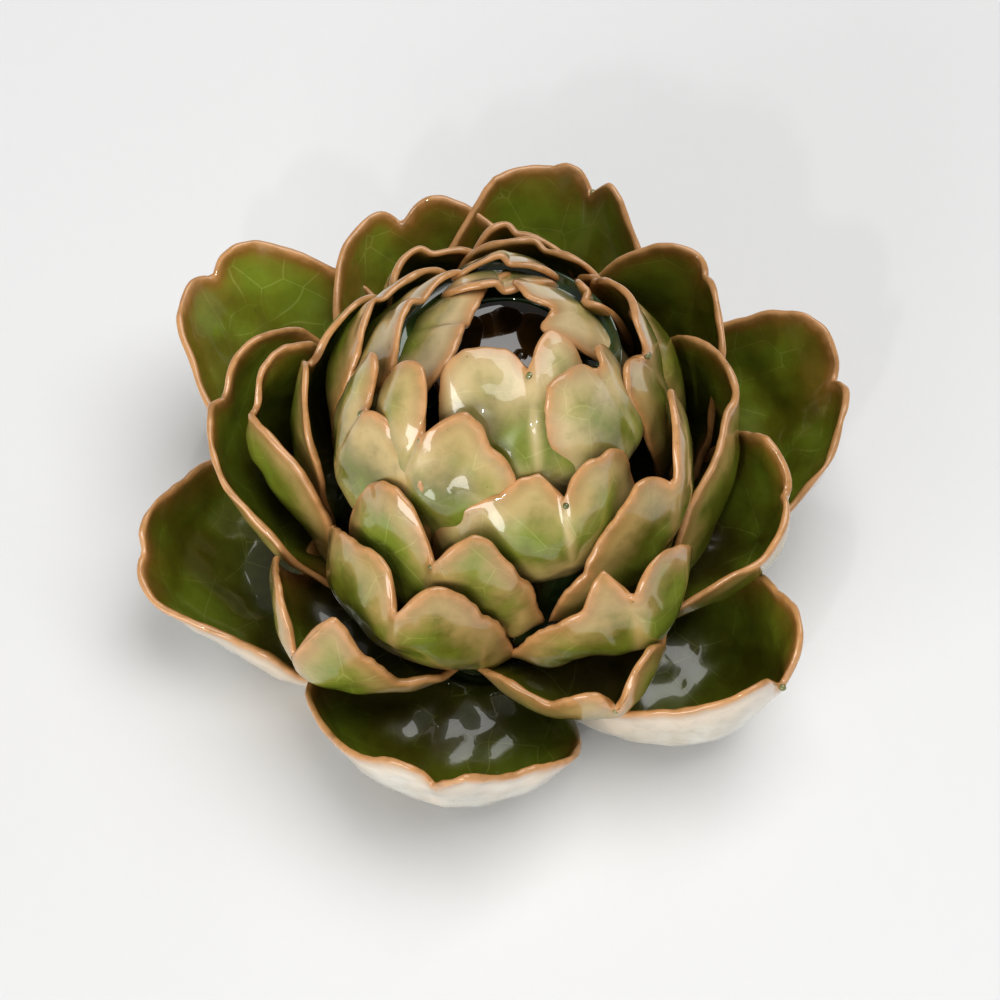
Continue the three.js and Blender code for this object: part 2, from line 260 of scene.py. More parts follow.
class Finish:
    """A material's node tree with one Principled shader, and the ways to add to it."""

    def __init__(self, name: str, roughness: float, coat: float) -> None:
        """Makes an empty material.

        Args:
            name: the material's name.
            roughness: the shader's roughness where no node sets it.
            coat: the weight of the clear coat, which is as smooth as glass.
        """
        self.material = bpy.data.materials.new(name)
        self.material.use_nodes = True
        self.tree = self.material.node_tree
        self.tree.nodes.clear()
        self.shader = self.tree.nodes.new("ShaderNodeBsdfPrincipled")
        self.shader.inputs["Roughness"].default_value = roughness
        self.shader.inputs["IOR"].default_value = 1.5
        self.shader.inputs["Coat Weight"].default_value = coat
        self.shader.inputs["Coat Roughness"].default_value = 0.02
        output = self.tree.nodes.new("ShaderNodeOutputMaterial")
        self.tree.links.new(self.shader.outputs[0], output.inputs[0])

    def node(
        self,
        kind: str,
        settings: dict[str, object],
        inputs: dict[int | str, object],
        output: int | str = 0,
    ) -> Wire:
        """Adds one node, first its settings, then its inputs.

        Args:
            kind: the node's type.
            settings: its properties, such as a Math node's operation.
            inputs: a value or a Wire for each input socket, by number or name.
            output: which of its outputs is wanted.

        Returns:
            The wanted output.
        """
        made = self.tree.nodes.new(kind)
        for key, value in settings.items():
            setattr(made, key, value)
        for key, value in inputs.items():
            if isinstance(value, Wire):
                self.tree.links.new(value.socket, made.inputs[key])
            else:
                made.inputs[key].default_value = value
        return Wire(self, made.outputs[output])

    def place(self) -> Wire:
        """The position in the object's own coordinates, in metres."""
        return self.node("ShaderNodeTexCoord", {}, {}, "Object")

    def attribute(self, name: str) -> Wire:
        """A float attribute of the mesh."""
        return self.node("ShaderNodeAttribute", {"attribute_name": name}, {}, "Fac")

    def grain(self, kind: Grain, size: float, detail: float = 2.0) -> Wire:
        """A pattern in the solid, so it has no seams.

        Args:
            kind: soft clouds (0 to 1), cracks (the distance to the nearest crack, as a share of a
                cell) or specks (the distance to the nearest speck's centre, likewise).
            size: the size of a cloud, cell or gap between specks, in millimetres.
            detail: how many finer layers the clouds have.

        Returns:
            The pattern's value.
        """
        scale = 1.0 / (size * MM)
        if kind is Grain.CLOUD:
            inputs = {"Vector": self.place(), "Scale": scale, "Detail": detail, "Roughness": 0.55}
            return self.node("ShaderNodeTexNoise", {}, inputs, 0)
        feature = "DISTANCE_TO_EDGE" if kind is Grain.CRACK else "F1"
        inputs = {"Vector": self.place(), "Scale": scale}
        return self.node("ShaderNodeTexVoronoi", {"feature": feature}, inputs, "Distance")

    def blend(
        self, share: Wire | float, a: Wire | Colour, b: Wire | Colour, way: str = "MIX"
    ) -> Wire:
        """Mixes two colours.

        Args:
            share: how much of the second shows, from 0 to 1.
            a: the first colour.
            b: the second colour.
            way: the Mix node's blend type.

        Returns:
            The mixed colour.
        """
        first = a if isinstance(a, Wire) else (*a, 1.0)
        second = b if isinstance(b, Wire) else (*b, 1.0)
        settings = {"data_type": "RGBA", "blend_type": way}
        return self.node("ShaderNodeMix", settings, {0: share, 6: first, 7: second}, 2)

    def feed(self, socket: str, wire: Wire) -> None:
        """Links a value or colour into one of the shader's sockets."""
        self.tree.links.new(wire.socket, self.shader.inputs[socket])

    def relief(self, height: Wire, depth: float, strength: float = 1.0) -> None:
        """Feeds the shader's normal from a height.

        Args:
            height: the height, from 0 to 1.
            depth: what 1 is, in millimetres.
            strength: how much of it shows.
        """
        inputs = {"Strength": strength, "Distance": depth * MM, "Height": height}
        self.feed("Normal", self.node("ShaderNodeBump", {}, inputs, "Normal"))


@dataclass(frozen=True)
class BractGlaze:
    """Glaze on a bract: green where it lies thick, tan where it runs thin on the rim and the folds.
    Painted shade darkens it towards the root, and a painted highlight runs along the folds.

    Attributes:
        name: the material's name.
        deep: the colour where the glaze lies thickest, in the joints, also used as painted shade
            low in the cups and at the root of the outer face.
        green: the olive green of the inner face.
        fresh: the brighter green of its thicker patches.
        outside: the green of the outer face.
        outside_fresh: the brighter green of its patches.
        khaki: thin glaze over the clay, round the edges of the outer face, and along its fold also a
            painted highlight.
        rim: the clay that shows through on the rim.
        burn: the line of rusty brown inside the rim.
        crack: the light that the fine cracks add.
        mottle: what the darker patches are multiplied by.
        speck: the dark specks.
        depth: how dark the inner face turns towards the root, from 0 to 1, as thicker glaze and
            painted shade.
        thin: how far the khaki runs in from the rim on the outer face, in millimetres.
    """

    name: str
    deep: Colour = (0.030, 0.020, 0.002)
    green: Colour = (0.150, 0.150, 0.010)
    fresh: Colour = (0.210, 0.270, 0.025)
    outside: Colour = (0.130, 0.130, 0.014)
    outside_fresh: Colour = (0.220, 0.270, 0.035)
    khaki: Colour = (0.480, 0.330, 0.130)
    rim: Colour = (0.580, 0.300, 0.120)
    burn: Colour = (0.300, 0.140, 0.032)
    crack: Colour = (0.40, 0.42, 0.16)
    mottle: Colour = (0.55, 0.50, 0.45)
    speck: Colour = (0.05, 0.025, 0.008)
    depth: float = 0.9
    thin: float = 5.0

    def material(self) -> bpy.types.Material:
        """Builds the material.

        The inner face is clouds of two greens that darken to the root, as thicker glaze and as
        painted shade, and the outer face is green in its middle and khaki round its edges, along its
        fold, where the khaki is also a painted highlight, and near its root, with painted shade at
        the root itself.
        Both carry fine pale cracks and dark specks, and turn to tan by the distance to the rim.

        Returns:
            The material.
        """
        finish = Finish(self.name, roughness=0.30, coat=1.0)
        rim = finish.attribute("rim")
        inner = finish.attribute("inner")
        grow = finish.attribute("grow")
        fold_glaze_and_highlight = finish.attribute("fold_glaze_and_highlight")
        broad = finish.grain(Grain.CLOUD, 11.0, detail=4.0)
        fine = finish.grain(Grain.CLOUD, 2.2, detail=5.0)
        cracks = finish.grain(Grain.CRACK, 7.5)
        minor = finish.grain(Grain.CRACK, 3.1)
        specks = finish.grain(Grain.SPECK, 1.7)

        face = finish.blend(broad.step(0.36, 0.68), self.green, self.fresh)
        brown = (rim + (fine - 0.5) * 4.0 + (broad - 0.5) * 8.0).step(8.0, 1.0) * 0.45
        face = finish.blend(brown, face, self.burn)
        # painted shade: the inner face darkens to the deep colour towards the root, as thicker glaze
        # and as shade
        shade = (grow + (broad - 0.5) * 0.35).step(0.72, 0.15) * self.depth
        face = finish.blend(shade, face, self.deep)
        edge = rim + (fine - 0.5) * 3.0 + (broad - 0.5) * 9.0
        edge = edge.step(self.thin * 1.5, 0.2 * self.thin)
        low = (grow + (fine - 0.5) * 0.2 + (broad - 0.5) * 0.3).step(0.50, 0.20)
        outer = finish.blend(broad.step(0.34, 0.66), self.outside, self.outside_fresh)
        # painted highlight: the khaki along the fold is a painted highlight as well as thin glaze
        outer = finish.blend(edge.larger(fold_glaze_and_highlight * 0.85).larger(low * 0.75) * 0.95, outer, self.khaki)
        # painted shade: the outer face darkens to the deep colour at its root, where it meets the
        # core
        outer = finish.blend(grow.step(0.20, 0.03) * 0.85, outer, self.deep)
        colour = finish.blend(inner, outer, face)
        line = cracks.step(0.016, 0.0) * broad.step(0.40, 0.62) * 0.30
        line = line + minor.step(0.012, 0.0) * 0.08
        colour = finish.blend(line, colour, self.crack, "SCREEN")
        colour = finish.blend(fine.step(0.45, 0.75) * 0.22, colour, self.mottle, "MULTIPLY")
        rust = (rim + (fine - 0.5) * 1.6).step(2.9, 1.2)
        colour = finish.blend(rust * (0.35 + 0.4 * inner), colour, self.burn)
        tan = (rim + (fine - 0.5) * 1.2 + (broad - 0.5) * 1.4).step(1.7, 0.2)
        clay = finish.blend(fine.step(0.4, 0.7) * 0.4, self.rim, self.burn)
        colour = finish.blend(tan * 0.95, colour, clay)
        dots = specks.step(0.10, 0.04) * fine.step(0.50, 0.62)
        colour = finish.blend(dots * 0.6, colour, self.speck)
        finish.feed("Base Color", colour)
        finish.feed("Roughness", 0.25 + tan * 0.15 + fine * 0.10)
        height = broad * 0.6 + fine * 0.16 + cracks.step(0.0, 0.03) * 0.03
        finish.relief(height, depth=0.22, strength=0.5)
        return finish.material


@dataclass(frozen=True)
class PoolGlaze:
    """Thick, dark glaze in the joints, as smooth as glass.

    Attributes:
        name: the material's name.
        deep: its darkest colour.
        sheer: the colour where it is thinner.
        clay: the bare clay of the foot.
        clay_dark: its darker grains.
    """

    name: str
    deep: Colour = (0.006, 0.012, 0.004)
    sheer: Colour = (0.030, 0.050, 0.014)
    clay: Colour = (0.480, 0.300, 0.170)
    clay_dark: Colour = (0.40, 0.24, 0.13)

    def material(self) -> bpy.types.Material:
        """Builds the material: clouds of two dark greens, and bare clay below the glaze line."""
        finish = Finish(self.name, roughness=0.05, coat=1.0)
        cloud = finish.grain(Grain.CLOUD, 6.0, detail=3.0)
        fine = finish.grain(Grain.CLOUD, 0.8, detail=3.0)
        bare = finish.attribute("bare")
        colour = finish.blend(cloud.step(0.35, 0.70), self.deep, self.sheer)
        clay = finish.blend(fine, self.clay, self.clay_dark)
        finish.feed("Base Color", finish.blend(bare, colour, clay))
        finish.feed("Roughness", 0.05 + bare * 0.75)
        finish.feed("Coat Weight", 1.0 - bare)
        finish.relief(fine * bare + cloud * 0.3, depth=0.15)
        return finish.material


# ---------------------------------------------------------------- the clay
@dataclass(frozen=True)
class Ring:
    """A ring of bracts and its seat on the core, in millimetres.

    Attributes:
        seat: height of the root line on the core.
        radius: radius of the core there.
        reach: how far the rims stand beyond that radius.
        rise: how far they stand above the root line.
        turn: half the angle of a rim's arch, in degrees.
        belly: how far a bract bulges outwards.
        droop: how squarely the arch falls to its ends.
        base: width at the root as a share of the full width.
        hug: how far the shoulders of a rim curl back to the axis.
        cup: how far the sides bulge, as a share of their flare.
        slot: the record's material slot.
    """

    seat: float
    radius: float
    reach: float
    rise: float
    turn: float
    belly: float
    droop: float
    base: float
    hug: float
    cup: float
    slot: str


OUTER = Ring(6, 25, 30, 19, 112, 6, 1.3, 0.5, 0, 0.4, "outer_glaze")
LOWER = Ring(13, 27, 13, 25, 100, 5, 1.5, 0.6, 6, 0.1, "lower_glaze")
MIDDLE = Ring(22, 26, 2, 25, 95, 4.5, 1.7, 0.7, 6, 0.0, "middle_glaze")
UPPER = Ring(31, 23, -5, 26, 92, 4.5, 1.9, 0.75, 8, 0.0, "upper_glaze")
INNER = Ring(40, 18, -11, 22, 90, 4, 2, 0.8, 5, 0.0, "inner_glaze")


@dataclass
class Core:
    """The solid cone of clay that carries every bract, in millimetres.

    Attributes:
        foot: radius of the flat foot.
        top: height of the flat top.
        tip: radius of the top.
        swell: how far the glaze that fills the joints stands out from the clay.
        sides: points round it.
        stations: points up its side.
        cap_rings: rings of points across the foot, and across the top.
    """

    foot: float = 20.0
    top: float = 50.0
    tip: float = 8.0
    swell: float = 0.9
    sides: int = 144
    stations: int = 90
    cap_rings: int = 6

    def profile(self) -> tuple[np.ndarray, np.ndarray]:
        """The profile's heights and radii, from the foot through the ring seats to the top."""
        rings = (OUTER, LOWER, MIDDLE, UPPER, INNER)
        heights = np.array([0.0, *(ring.seat for ring in rings), self.top])
        radii = np.array([self.foot, *(ring.radius for ring in rings), self.tip])
        return heights, radii

    def radius(self, height: float | np.ndarray) -> np.ndarray:
        """The radius at a height, on straight lines between the profile's points."""
        return np.interp(height, *self.profile())

    def build(self) -> bpy.types.Object:
        """Builds the glazed core as a turned body with an uneven skin.

        A closed grid of turns and stations, where the radius is the profile's plus the swell and a
        soft unevenness, and runs to nothing on the axis at the foot and the top.

        Returns:
            The object.
        """
        turns = np.linspace(0.0, 2.0 * np.pi, self.sides + 1)[:-1]
        rise = np.linspace(0.0, self.top, self.stations)
        out = self.radius(rise) + self.swell * smooth(0.0, 3.0, rise)
        inward = np.linspace(0.0, 1.0, self.cap_rings + 2)[1:-1]
        level = np.full(self.cap_rings, self.top)
        heights = np.concatenate([np.zeros(self.cap_rings), rise, level])
        radii = np.concatenate([inward * out[0], out, (1.0 - inward) * out[-1]])
        points = np.stack(
            [
                radii[None, :] * np.cos(turns)[:, None],
                radii[None, :] * np.sin(turns)[:, None],
                np.broadcast_to(heights, (turns.size, heights.size)),
            ],
            axis=-1,
        )
        dents = Unevenness(8.0, seed=11).at(points) * 0.4 * smooth(2.0, 6.0, points[..., 2])
        shape = 1.0 + dents / np.maximum(radii, 4.0)[None, :]
        points[..., :2] *= shape[..., None]
        grid = np.arange(turns.size * heights.size).reshape(turns.size, heights.size)
        walls = grid_faces(np.vstack([grid, grid[:1]]))
        after = np.roll(grid, -1, axis=0)
        flat = points.reshape(-1, 3)
        poles = np.array([[0.0, 0.0, 0.0], [0.0, 0.0, self.top]])
        bottom, peak = len(flat), len(flat) + 1
        caps = [[bottom, b, a] for a, b in zip(grid[:, 0], after[:, 0])]
        caps += [[peak, a, b] for a, b in zip(grid[:, -1], after[:, -1])]
        flat = np.concatenate([flat, poles])
        bare = smooth(1.6, 0.9, flat[:, 2] + 0.3 * Unevenness(9.0, seed=12).at(flat))
        piece = new_piece("glazed_core", flat, walls.tolist() + caps, {"bare": bare})
        piece.data.materials.append(PoolGlaze("pooled_glaze").material())
        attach(piece, "root")
        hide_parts("core")
        return piece


CORE = Core()


@dataclass
class Bract:
    """One torn, cupped piece of clay pressed on to the core, in millimetres and degrees.

    Attributes:
        node: the CAD node that it stands for.
        ring: the ring that it belongs to.
        at: its direction, counter-clockwise from +X.
        half: its half widths, clockwise side first.
        far: how far its rim stands beyond the ring's.
        high: how far its rim stands above the ring's.
        lift: how far its root stands above the ring's.
        belly: how far it bulges outwards, if not as the ring does.
        hugs: how far its two shoulders curl in, if not as the ring's do.
        tilt: how far the counter-clockwise shoulder is raised.
        tear: depth of the tear in its rim.
        tear_at: where the tear is, from -1 to 1.
        tear_wide: half width of the tear, as a share of the half rim.
        crest: how far the rim stands up at some places across, each a place and a height.
        turns: half angles of the rim's arch on its two sides, if not as the ring's.
        end_up: how much higher than usual the rim meets the core.
        end_out: how much farther out it does so.
        flap: how far the lobe past the tear stands in front of the other.
        lip: how far the rim flares outwards.
        pool: how deep the glaze lies in the joint behind it.
        clear: the least height of its underside above the table.
        across: points across it.
        along: points up it, below the round rim.
        round_steps: points round the rim.
        rim_wall: thickness near the rim.
        root_wall: thickness at the root.
        nicks: depths of the long and the short unevenness of the rim.
        dents: depths of the broad and the small dents of the faces.
        step_wide: half width of the step across the tear, as a share of the half rim.
    """

    node: str
    ring: Ring
    at: float
    half: tuple[float, float]
    far: float = 0.0
    high: float = 0.0
    lift: float = 0.0
    belly: float | None = None
    hugs: tuple[float, float] | None = None
    tilt: float = 0.0
    tear: float = 2.0
    tear_at: float = 0.0
    tear_wide: float = 0.45
    crest: tuple[tuple[float, float], ...] = ()
    turns: tuple[float, float] | None = None
    end_up: float = 0.0
    end_out: float = 0.0
    flap: float = 0.9
    lip: float = 0.15
    pool: float = 1.6
    clear: float = 0.15
    across: int = 113
    along: int = 30
    round_steps: int = 7
    rim_wall: float = 1.05
    root_wall: float = 2.4
    nicks: tuple[float, float] = (0.17, 0.05)
    dents: tuple[float, float] = (0.35, 0.08)
    step_wide: float = 0.035

    def seed(self) -> int:
        """A seed of its own, from its direction and ring."""
        return int(self.at * 7 + self.ring.seat * 131)

    def cut(self, u: np.ndarray) -> np.ndarray:
        """How far the rim is cut back, less how far its crests stand up.

        The tear is its depth times (1 - |u - tear_at| / tear_wide) to the power 2.6. The crests run
        straight from one height to the next, and are nothing at the ends.

        Args:
            u: positions across, from -1 to 1.

        Returns:
            The cut at each, in millimetres.
        """
        share = np.clip(1.0 - np.abs(u - self.tear_at) / self.tear_wide, 0.0, None)
        tear = self.tear * share**2.6
        places = [-1.0, *(place for place, _ in self.crest), 1.0]
        heights = [0.0, *(height for _, height in self.crest), 0.0]
        return tear - np.interp(u, places, heights)

    def curves(self, u: np.ndarray) -> dict[str, np.ndarray]:
        """The root line, the rim and the control line between them, for positions u across.

        The rim is an arch: with the fall f = (1 - cos(turn u)) / (1 - cos(turn)), it stands out by
        the rim radius blended to the core's by f, less hug * across^2 * (1 - f), and up by the rim
        height blended to the root's by f to the power droop, plus tilt * across * (1 - f), where
        across = sin(turn u). The root line is an arc on the core. The control line lies half way,
        moved out square to the chord by twice the belly times sqrt(1 - f), and sideways by the cup.

        Args:
            u: positions across, from -1 to 1.

        Returns:
            Arrays "foot", "bend" and "rim" of shape (n, 3), and "length" of shape (n,).
        """
        ring = self.ring
        root = ring.seat + self.lift
        root_radius = float(CORE.radius(root))
        side = u > 0
        half = np.where(side, self.half[1], self.half[0])
        turns = self.turns or (ring.turn, ring.turn)
        turn = np.radians(np.where(side, turns[1], turns[0]))
        belly = ring.belly if self.belly is None else self.belly
        hugs = self.hugs or (ring.hug, ring.hug)
        hug = np.where(side, hugs[1], hugs[0])
        rim_radius = ring.radius + ring.reach + self.far
        rim_height = root + ring.rise + self.high

        fall = (1.0 - np.cos(turn * u)) / (1.0 - np.cos(turn))
        across = np.sin(turn * u)
        rim_across = half * across
        end_across = half * np.sin(turn)
        end_radius = np.sqrt(np.maximum(root_radius**2 - end_across**2, 1.0)) + 1.5 + self.end_out
        rim_out = rim_radius + (end_radius - rim_radius) * fall - hug * across**2 * (1.0 - fall)
        drop = root + 2.5 + self.end_up - rim_height
        rim_up = rim_height + drop * fall**ring.droop + self.tilt * across * (1.0 - fall)

        foot_across = (self.half[0] + self.half[1]) / 2.0 * ring.base * u
        foot_out = np.sqrt(root_radius**2 - foot_across**2)
        run = rim_out - foot_out
        climb = rim_up - root
        bow = 2.0 * belly * np.sqrt(np.clip(1.0 - fall, 0.0, None)) / np.hypot(run, climb)
        foot = np.stack([foot_out, foot_across, np.full_like(u, root)], axis=-1)
        rim = np.stack([rim_out, rim_across, rim_up], axis=-1)
        bend = (foot + rim) / 2.0
        bend[:, 0] += bow * climb
        bend[:, 1] += ring.cup * (rim_across - foot_across)
        bend[:, 2] -= bow * run
        length = np.linalg.norm(rim - foot, axis=-1) + 1e-6
        return {"foot": foot, "bend": bend, "rim": rim, "length": length}

    def middle(self) -> tuple[np.ndarray, np.ndarray, np.ndarray]:
        """The middle surface: a grid of bowed curves from the root line up to the torn rim.

        Each is a quadratic curve (1-w)^2 foot + 2w(1-w) bend + w^2 rim. The rim is cut back by the
        tear, a notch with soft shoulders, and by a small unevenness. The stations near the rim lie
        at r(1 - cos angle) from it, as on a round edge, and the others are even.

        Returns:
            Points of shape (across, along + round_steps, 3), the share w of the way up of each
            and the depth of each below the rim, measured along its curve.
        """
        u = np.linspace(-1.0, 1.0, self.across)
        line = self.curves(u)
        steps = np.linalg.norm(np.diff(line["rim"], axis=0), axis=1)
        run = np.concatenate([[0.0], np.cumsum(steps)])
        nicks = Unevenness(9.0, self.seed()).along(run) * self.nicks[0]
        nicks += Unevenness(2.4, self.seed() + 1).along(run) * self.nicks[1]
        cut = self.cut(u) + (nicks + 0.2) * smooth(1.0, 0.85, np.abs(u))
        top = 1.0 - cut / line["length"]
        reach = line["length"] * top
        round_off = np.minimum(self.rim_wall, 0.4 * reach)
        angle = np.linspace(0.0, np.pi / 2.0, self.round_steps + 1)
        near = round_off[:, None] * (1.0 - np.cos(angle))[None, :]
        shares = np.linspace(0.0, 1.0, self.along)[None, 1:]
        even = round_off[:, None] + (reach - round_off)[:, None] * shares
        below = np.concatenate([near, even], axis=1)[:, ::-1]
        w = ((reach[:, None] - below) / line["length"][:, None])[..., None]
        foot, bend, rim = (line[key][:, None, :] for key in ("foot", "bend", "rim"))
        return bowed(w, foot, bend, rim), w[..., 0], below

    def tear_foot(self) -> np.ndarray:
        """The lowest point of the tear, a little in front of the outer face."""
        line = self.curves(np.array([self.tear_at]))
        w = 1.0 - (self.cut(np.array([self.tear_at])) + 0.5) / line["length"]
        foot, bend, rim = (line[key][0] for key in ("foot", "bend", "rim"))
        return self.turned(bowed(w, foot, bend, rim) + np.array([0.5, 0.0, 0.0]))

    def turned(self, points: np.ndarray) -> np.ndarray:
        """Turns points about the axis into the bract's own direction."""
        c, s = math.cos(math.radians(self.at)), math.sin(math.radians(self.at))
        x, y = points[..., 0], points[..., 1]
        return np.stack([x * c - y * s, x * s + y * c, points[..., 2]], axis=-1)

    def build(self, glaze: bpy.types.Material) -> bpy.types.Object:
        """Builds the bract as two sheets that meet in a round rim.

        The middle surface is pushed along its normal by hand-made dents, by a step of `flap` across
        the tear that dies away below it, and by the flare of the lip. Half the wall times
        sqrt(1 - (1 - d/r)^2), with d the distance to the rim, goes to each side, and the glaze that
        has pooled in the joint is added to the inner sheet. The underside is pressed flat where it
        would come lower than `clear`.

        Args:
            glaze: the finished material.

        Returns:
            The object.
        """
        points, w, below = self.middle()
        u = np.linspace(-1.0, 1.0, self.across)[:, None]
        edge = points[:, -1]
        distance = np.empty(w.shape)
        for column in range(w.shape[1]):
            gaps = np.linalg.norm(points[:, column, None, :] - edge[None, :, :], axis=-1)
            distance[:, column] = gaps.min(axis=1)
        points = self.turned(points)
        normal = sheet_normals(points)
        free = smooth(0.0, 0.3, w) * smooth(1.0, 0.8, np.abs(u))
        broad = Unevenness(16.0, self.seed() + 2).at(points) * self.dents[0]
        small = Unevenness(7.0, self.seed() + 3).at(points) * self.dents[1]
        push = (broad + small) * free
        aside = u - self.tear_at
        step = self.flap * np.tanh(aside / self.step_wide) * np.exp(-distance / 5.0)
        push += step * np.exp(-((aside / 0.30) ** 2))
        push += self.lip * np.exp(-distance / 2.5) * free
        points = points + normal * push[..., None]
        normal = sheet_normals(points)

        wall = self.rim_wall + (self.root_wall - self.rim_wall) * smooth(0.9, 0.1, w)
        wall = wall * (1.0 + 0.10 * Unevenness(5.0, self.seed() + 4).at(points))
        ball = self.rim_wall * 0.55
        round_edge = round_end(distance / ball)
        sides = np.sqrt(1.0 - np.abs(u) ** 40)
        root = round_end(w / 0.06)
        half = (wall / 2.0 * round_edge * sides * root)[..., None]
        outside = (points + normal * half).reshape(-1, 3)
        outside[:, 2] = np.maximum(outside[:, 2], self.clear)
        fill = self.pool * smooth(0.40, 0.0, w) * smooth(1.0, 0.75, np.abs(u))
        inside = (points - normal * (half + (fill * root)[..., None])).reshape(-1, 3)
        faces, kept = pillow_faces(*w.shape)
        both = np.concatenate([outside, inside[kept]])
        rims = distance.ravel()
        grows = w.ravel()
        inner = np.concatenate([np.where(rims < 0.3, 0.5, 0.0), np.ones(kept.size)])
        # the fold mask, which paints thin glaze and a painted highlight along the fold below the
        # tear
        fold = np.exp(-(((u - self.tear_at) * sum(self.half) / 1.6) ** 2)) * smooth(0.1, 0.5, w)
        folds = (fold * min(self.tear / 5.0, 1.0)).ravel()
        values = {
            "fold_glaze_and_highlight": np.concatenate([folds, folds[kept]]),
            "rim": np.concatenate([rims, rims[kept]]),
            "grow": np.concatenate([grows, grows[kept]]),
            "inner": inner,
        }
        piece = new_piece("glazed_" + self.node, both, faces.tolist(), values)
        piece.data.materials.append(glaze)
        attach(piece, "root")
        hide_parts(self.node)
        return piece


